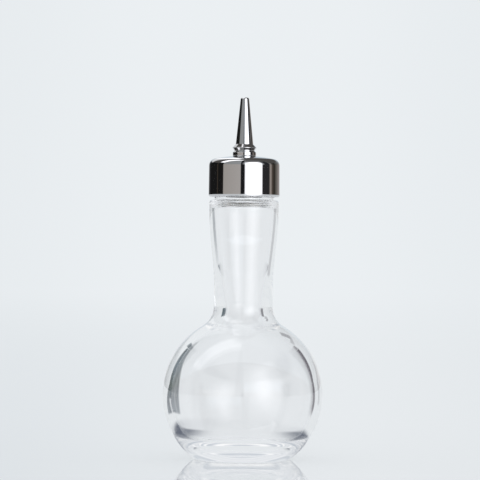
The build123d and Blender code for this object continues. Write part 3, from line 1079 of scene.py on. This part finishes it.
def flag_painted_reflections():
    """The material of the flags' wall: painted dark reflections where a ray meets a flag, and nothing
    elsewhere.
    """
    material, tree, _ = surface("flag_painted_reflections", RIGHT_PAINTED_REFLECTION_COLOR, 1.0)
    material.cycles.emission_sampling = "NONE"
    place = put(tree, "ShaderNodeTexCoord").outputs["Object"]
    ray = flag_ray(tree, place)
    # Painted reflection: the share of the flags' dark marks that this ray meets, by its turn, height, length
    # and reflections
    painted_reflection_share = any_of(tree, left_flag(tree, ray), right_flag(tree, ray))
    reflection_streaks = grain(tree, REFLECTION_STREAK_SCALE, 3.0, REFLECTION_STREAK_STRETCH)
    lighter = fade(tree, reflection_streaks, *REFLECTION_STREAK_RANGE, 1, 1 + REFLECTION_STREAK_DEPTH)
    share = calc(tree, "DIVIDE", ray.height, LEFT_FLAG_SPAN)
    reflection_tone = ramp(tree, share, [(height / LEFT_FLAG_SPAN, color) for height, color in LEFT_PAINTED_REFLECTION_COLORS])
    reflection_tone = mixed(tree, fade(tree, ray.degrees, *FLAG_SEAM), scaled(tree, reflection_tone, lighter), RIGHT_PAINTED_REFLECTION_COLOR)
    # Painted reflection: dark emitted colour where a ray out of the glass meets a flag, see-through elsewhere
    show(tree, blend(tree, painted_reflection_share, put(tree, "ShaderNodeBsdfTransparent"), emission(tree, reflection_tone)))
    return material


def painted_reflection_flags():
    """A wall round the bottle that only rays out of the glass can meet, with the flags' painted dark
    reflections on it.
    """
    mesh = bpy.data.meshes.new("painted_reflection_flags")
    verts = []
    for k in range(FLAG_STEPS):
        angle = 2 * math.pi * k / FLAG_STEPS
        x, y = FLAG_RADIUS * math.cos(angle), FLAG_RADIUS * math.sin(angle)
        verts += [(x, y, 0), (x, y, FLAG_HEIGHT)]
    count = len(verts)
    mesh.from_pydata(verts, [], [(i, (i + 2) % count, (i + 3) % count, i + 1) for i in range(0, count, 2)])
    flags = bpy.data.objects.new("painted_reflection_flags", mesh)
    bpy.context.scene.collection.objects.link(flags)
    for kind in ("camera", "diffuse", "glossy", "shadow", "volume_scatter"):
        setattr(flags, "visible_" + kind, False)
    mesh.materials.append(flag_painted_reflections())


def camera():
    """The photograph's view: level with the neck's flare, from one metre away, leaning a little."""
    data = bpy.data.cameras.new("camera")
    data.sensor_width = SENSOR_WIDTH
    data.lens = CAMERA_DISTANCE * SENSOR_WIDTH / (FRAME_PIXELS * PIXEL_SIZE * MM)
    data.clip_end = CAMERA_SIGHT
    view = bpy.data.objects.new("camera", data)
    bpy.context.scene.collection.objects.link(view)
    lean = math.radians(LEAN_DEGREES)
    middle = FRAME_PIXELS / 2
    height = (FOOT_ROW - HORIZON_ROW) * PIXEL_SIZE * MM
    aside = (middle - FOOT_COLUMN - (FOOT_ROW - middle) * math.tan(lean)) * PIXEL_SIZE * MM
    pitch = math.atan((HORIZON_ROW - middle) * PIXEL_SIZE * MM / CAMERA_DISTANCE)
    view.matrix_world = (
        Matrix.Translation((aside, -CAMERA_DISTANCE, height))
        @ Matrix.Rotation(math.pi / 2 + pitch, 4, "X")
        @ Matrix.Rotation(lean, 4, "Z")
    )
    bpy.context.scene.camera = view


def finish(piece, material):
    """A piece's only material."""
    piece.data.materials.clear()
    piece.data.materials.append(material)


glass_thread = thread(FINISH_RADIUS, GLASS_THREAD_HEIGHT, GLASS_THREAD_TURNS, 1)
liner_thread = thread(LINER_BORE_RADIUS, LINER_THREAD_HEIGHT, LINER_THREAD_TURNS, -1)
glass = spun("glass_bottle", bottle_outline(), "bottle", "bottle", glass_thread)
shell = spun("chrome_cap_shell", shell_outline(), "cap", "cap_shell")
liner = spun("moulded_liner", liner_outline(), "cap", "threaded_insert", liner_thread)
spout = spun("turned_nozzle", nozzle_outline(), "cap", "nozzle")

finish(glass, clear_glass())
finish(shell, chrome("chrome_shell", SHELL_ROUGHNESS))
finish(liner, moulded("liner_plastic", LINER_COLOR, 0.35, glow=0.3))
finish(spout, chrome("chrome_nozzle", NOZZLE_ROUGHNESS))
finish(nodes["rim_washer"], moulded("washer_silicone", WASHER_COLOR, 0.45, glow=0.5))
finish(nodes["nozzle_o_ring"], moulded("ring_rubber", RING_COLOR, 0.5))
finish(nodes["nozzle_nut"], turned_steel())
finish(nodes["dash_insert"], moulded("dash_plastic", DASH_COLOR, 0.28, glow=0.3))

studio()
studio_floor()
painted_reflection_flags()
camera()

bpy.context.scene.view_settings.view_transform = "Standard"
